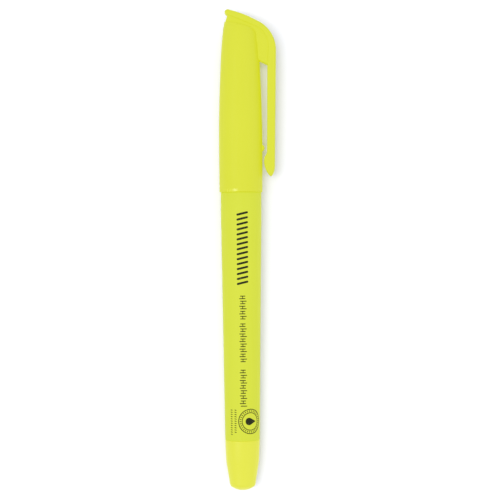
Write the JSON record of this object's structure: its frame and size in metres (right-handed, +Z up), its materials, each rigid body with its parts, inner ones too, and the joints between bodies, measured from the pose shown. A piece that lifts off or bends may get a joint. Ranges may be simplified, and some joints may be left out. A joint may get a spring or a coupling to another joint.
{
  "type": "pocket highlighter pen",
  "caption": "Slim capped felt pen with a pull-off cap, a springy pocket clip beside a slot, a tapered barrel and a chisel fibre nib.",
  "frame": {"origin": "centre of the small flat at the pen's tail end, on the pen's axis", "axes": "+Y along the pen from its tail to the top of its cap, +X from the axis towards the pocket clip, +Z up with the pen lying down"},
  "size_m": [0.0163, 0.136, 0.0122],
  "materials": {
    "barrel_plastic": "fluorescent yellow moulded plastic, satin",
    "tail_plastic": "fluorescent yellow moulded plastic, satin",
    "section_plastic": "fluorescent yellow moulded plastic, satin",
    "nib_fibre": "bonded fibre soaked in fluorescent yellow ink",
    "reservoir_fibre": "bundled fibre soaked in ink",
    "film": "clear plastic film",
    "breather_plastic": "natural plastic tube",
    "cap_plastic": "fluorescent yellow moulded plastic, semi-gloss",
    "inner_cap_plastic": "natural soft plastic",
    "clip_plastic": "fluorescent yellow moulded plastic, semi-gloss"
  },
  "bodies": {
    "barrel": {"barrel": "barrel_plastic", "tail_plug": "tail_plastic", "nib_section": "section_plastic", "nib": "nib_fibre", "reservoir_core": "reservoir_fibre", "reservoir_film": "film", "breather_tube": "breather_plastic"},
    "cap": {"cap_shell": "cap_plastic", "inner_cap": "inner_cap_plastic"},
    "clip": {"clip_arm": "clip_plastic"}
  },
  "joints": [
    {"name": "cap_slide", "type": "slide", "parent": "barrel", "child": "cap", "axis": [0, 1, 0], "range_m": [0, 0.05]},
    {"name": "clip_flex", "type": "hinge", "parent": "cap", "child": "clip", "pos_m": [0.009, 0.1202, 0], "axis": [0, 0, 1], "range_deg": [0, 4], "stiffness_Nm_per_rad": 1.5}
  ]
}
